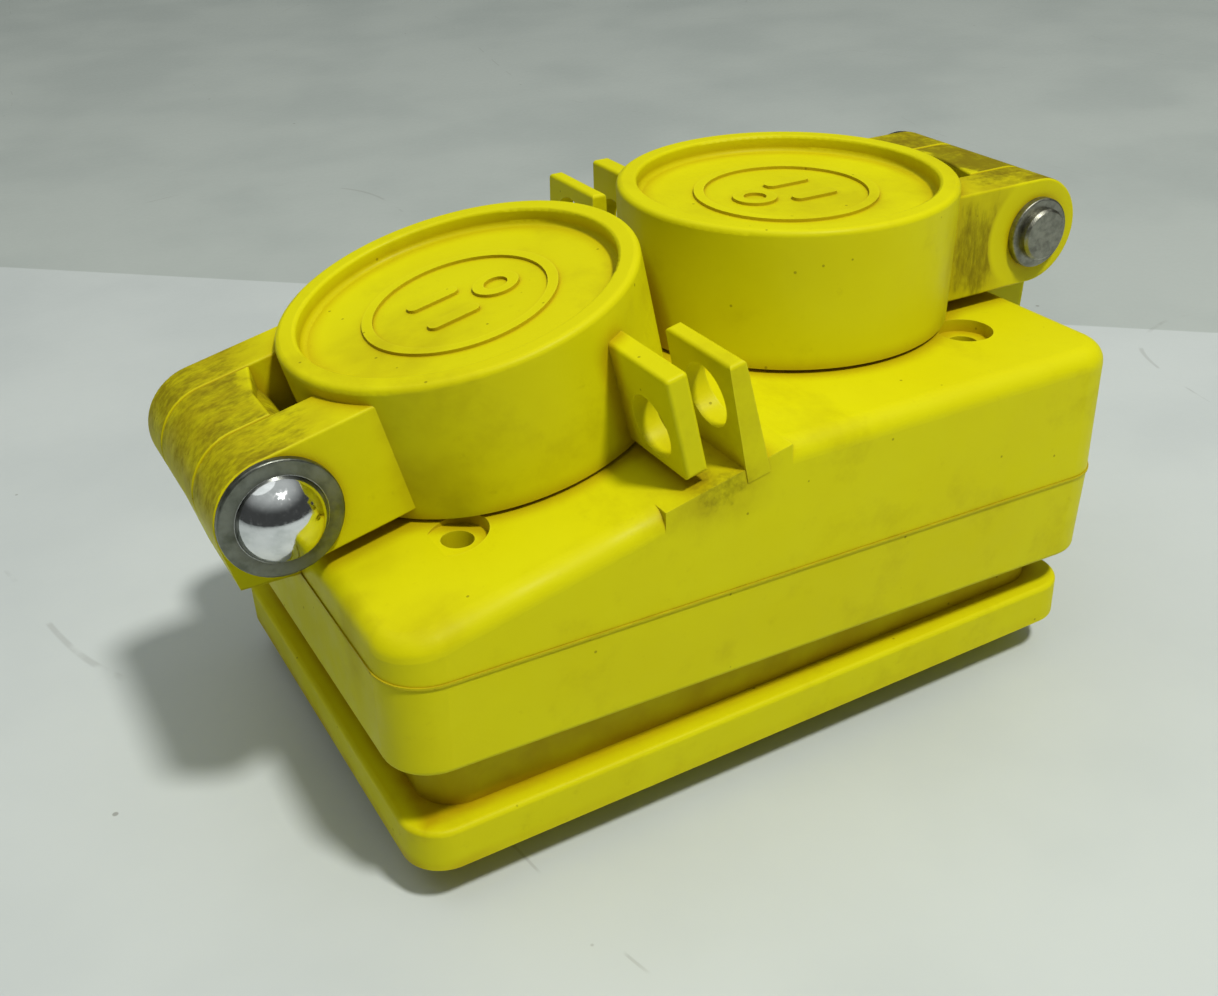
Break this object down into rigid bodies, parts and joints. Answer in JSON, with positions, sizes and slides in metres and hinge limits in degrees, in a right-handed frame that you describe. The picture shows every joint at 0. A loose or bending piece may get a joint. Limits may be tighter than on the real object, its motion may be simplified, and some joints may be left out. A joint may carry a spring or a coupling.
{
  "type": "gfci outlet",
  "caption": "Duplex ground-fault outlet in a deep rubber housing with hinged round flip lids, padlock tabs and a box plate.",
  "frame": {"origin": "centre of the box screw pattern, on the face of the mounting plate that lies on the box", "axes": "+X along the length towards the level lid, +Z out of the box towards the lids, -Y the side with the left lid's padlock tab"},
  "size_m": [0.1384, 0.0808, 0.0747],
  "materials": {
    "yellow_rubber": "satin",
    "seal_rubber": "matte",
    "pin_steel": "satin",
    "cap_chrome": "polished",
    "outlet_nylon": "satin",
    "contact_brass": "satin",
    "plain_steel": "satin",
    "ground_green": "satin",
    "panel_grey": "matte",
    "button_black": "satin",
    "button_red": "satin",
    "light_green": "clear",
    "cover_black": "matte",
    "board_green": "satin",
    "coil_copper": "gloss",
    "part_black": "matte",
    "varistor_blue": "gloss"
  },
  "bodies": {
    "base": {"housing": "yellow_rubber", "mounting_plate": "yellow_rubber", "hinge_pin_left": "pin_steel", "hinge_pin_right": "pin_steel", "pin_washers": "pin_steel", "pin_caps": "cap_chrome", "outlet_body_left": "outlet_nylon", "outlet_body_right": "outlet_nylon", "outlet_face_left": "outlet_nylon", "outlet_face_right": "outlet_nylon", "hot_bus": "contact_brass", "neutral_bus": "contact_brass", "ground_bus": "plain_steel", "button_panel": "panel_grey", "button_springs": "plain_steel", "indicator_light": "light_green", "rear_cover": "cover_black", "terminal_plates": "contact_brass", "hot_screws": "contact_brass", "neutral_screws": "plain_steel", "ground_screw": "ground_green", "circuit_board": "board_green", "solenoid_frame": "plain_steel", "solenoid_coil": "coil_copper", "sensing_coil": "coil_copper", "relay": "part_black", "varistor": "varistor_blue", "board_chips": "part_black"},
    "left_lid": {"lid_left": "yellow_rubber", "lid_seal_left": "seal_rubber"},
    "right_lid": {"lid_right": "yellow_rubber", "lid_seal_right": "seal_rubber"},
    "test": {"test_button": "button_black"},
    "reset": {"reset_button": "button_red"},
    "plunger": {"trip_plunger": "plain_steel"}
  },
  "joints": [
    {"name": "left_lid_hinge", "type": "hinge", "parent": "base", "child": "left_lid", "pos_m": [-0.06042, 0, 0.0456], "axis": [0, -1, 0], "range_deg": [0, 170]},
    {"name": "right_lid_hinge", "type": "hinge", "parent": "base", "child": "right_lid", "pos_m": [0.06157, 0, 0.05634], "axis": [0, 1, 0], "range_deg": [0, 170]},
    {"name": "test_press", "type": "slide", "parent": "base", "child": "test", "axis": [0, -1, 0], "range_m": [0, 0.0015], "stiffness_N_per_m": 400},
    {"name": "reset_press", "type": "slide", "parent": "base", "child": "reset", "axis": [0, -1, 0], "range_m": [0, 0.0015], "stiffness_N_per_m": 500},
    {"name": "plunger_pull", "type": "slide", "parent": "base", "child": "plunger", "axis": [0, -1, 0], "range_m": [0, 0.002], "stiffness_N_per_m": 120}
  ]
}
